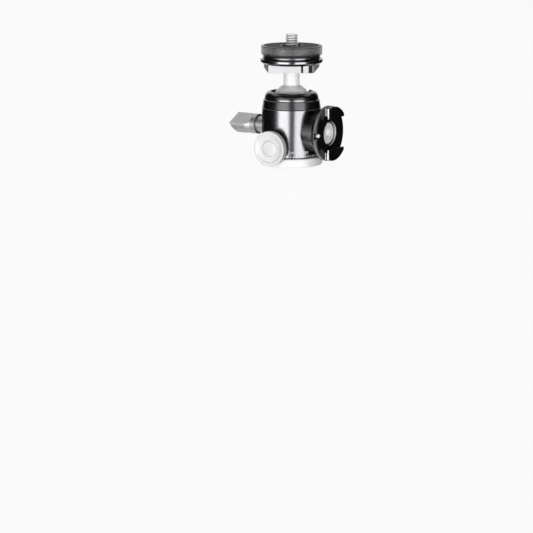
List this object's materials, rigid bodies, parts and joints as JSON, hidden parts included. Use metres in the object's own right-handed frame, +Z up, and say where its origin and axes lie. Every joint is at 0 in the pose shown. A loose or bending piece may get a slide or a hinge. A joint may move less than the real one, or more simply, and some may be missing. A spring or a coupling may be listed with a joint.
{
  "type": "tripod ball head",
  "caption": "Compact black ball head with a numbered panning base, drop notch, side accessory shoe, bar lock handle, round pan knob and a camera stud with a knurled lock disc.",
  "frame": {"origin": "centre of the base ring's underside, where the tripod thread opens", "axes": "+Z up along the pan axis and the stem, +X to the accessory shoe, -X to the lock handle, -Y to the pan knob, +Y to the drop notch"},
  "size_m": [0.0599, 0.0384, 0.0666],
  "materials": {
    "black_anodised": "black anodised, satin, with turned lines and a glossy flange",
    "silver_anodised": "clear anodised, bright satin",
    "grey_anodised": "grey anodised, fine satin",
    "plain_aluminium": "machined",
    "stainless_steel": "machined",
    "dark_steel": "black oxide",
    "brass": "machined",
    "acetal": "smooth moulded",
    "pad_rubber": "matt with fine grain"
  },
  "bodies": {
    "base": {"base_plate": "silver_anodised", "thread_adapter": "stainless_steel", "pan_drum": "plain_aluminium", "base_screws": "dark_steel", "pan_washer_lower": "acetal", "pan_washer_upper": "acetal"},
    "pan_housing": {"housing": "black_anodised", "pan_collar": "dark_steel", "chamber_floor": "dark_steel", "upper_seat": "acetal", "shoe_disc": "black_anodised", "shoe_screw": "stainless_steel", "shoe_key_pin": "stainless_steel", "piston_springs": "stainless_steel"},
    "piston_body": {"piston": "acetal"},
    "wedge_body": {"wedge": "brass"},
    "socket_body": {"ball_liner": "acetal"},
    "ball_body": {"ball": "grey_anodised", "stem": "silver_anodised", "platform": "black_anodised", "camera_stud": "stainless_steel"},
    "lock_disc_body": {"lock_disc": "black_anodised", "lock_disc_pad": "pad_rubber"},
    "lock_washer_body": {"lock_washer": "acetal"},
    "lock_handle_body": {"lock_screw": "stainless_steel", "lock_handle": "silver_anodised"},
    "pan_washer_body": {"pan_spring_washer": "stainless_steel"},
    "pan_knob_body": {"pan_knob": "silver_anodised", "pan_knob_cap": "silver_anodised", "pan_screw": "stainless_steel"},
    "pan_pad_body": {"pan_pad": "brass"}
  },
  "joints": [
    {"name": "pan", "type": "hinge", "parent": "base", "child": "pan_housing", "pos_m": [0, 0, 0.0104], "axis": [0, 0, 1], "continuous": true},
    {"name": "ball_swing", "type": "hinge", "parent": "pan_housing", "child": "socket_body", "pos_m": [0, 0, 0.0312], "axis": [0, 1, 0], "range_deg": [-28, 28]},
    {"name": "ball_tilt", "type": "hinge", "parent": "socket_body", "child": "ball_body", "pos_m": [0, 0, 0.0312], "axis": [-1, 0, 0], "range_deg": [-28, 90]},
    {"name": "lock_disc_turn", "type": "hinge", "parent": "ball_body", "child": "lock_disc_body", "pos_m": [0, 0, 0.0577], "axis": [0, 0, 1], "continuous": true},
    {"name": "lock_handle_turn", "type": "hinge", "parent": "lock_washer_body", "child": "lock_handle_body", "pos_m": [-0.02, 0, 0.0189], "axis": [-1, 0, 0], "range_deg": [0, 360]},
    {"name": "lock_washer_slide", "type": "slide", "parent": "pan_housing", "child": "lock_washer_body", "axis": [-1, 0, 0], "range_m": [0, 0.001]},
    {"name": "wedge_slide", "type": "slide", "parent": "pan_housing", "child": "wedge_body", "axis": [-1, 0, 0], "range_m": [0, 0.001]},
    {"name": "piston_slide", "type": "slide", "parent": "pan_housing", "child": "piston_body", "axis": [0, 0, -1], "range_m": [0, 0.0002]},
    {"name": "pan_knob_turn", "type": "hinge", "parent": "pan_washer_body", "child": "pan_knob_body", "pos_m": [0, -0.02, 0.0104], "axis": [0, -1, 0], "range_deg": [0, 270]},
    {"name": "pan_washer_slide", "type": "slide", "parent": "pan_housing", "child": "pan_washer_body", "axis": [0, -1, 0], "range_m": [0, 0.0006]},
    {"name": "pan_pad_slide", "type": "slide", "parent": "pan_housing", "child": "pan_pad_body", "axis": [0, -1, 0], "range_m": [0, 0.0006]}
  ],
  "couplings": [
    {"joint": "lock_handle_turn", "follows": "lock_washer_slide", "rad_per_m": 6283.2},
    {"joint": "wedge_slide", "follows": "lock_washer_slide", "ratio": 1},
    {"joint": "piston_slide", "follows": "lock_washer_slide", "ratio": 0.2},
    {"joint": "pan_knob_turn", "follows": "pan_washer_slide", "rad_per_m": 7854},
    {"joint": "pan_pad_slide", "follows": "pan_washer_slide", "ratio": 1}
  ]
}
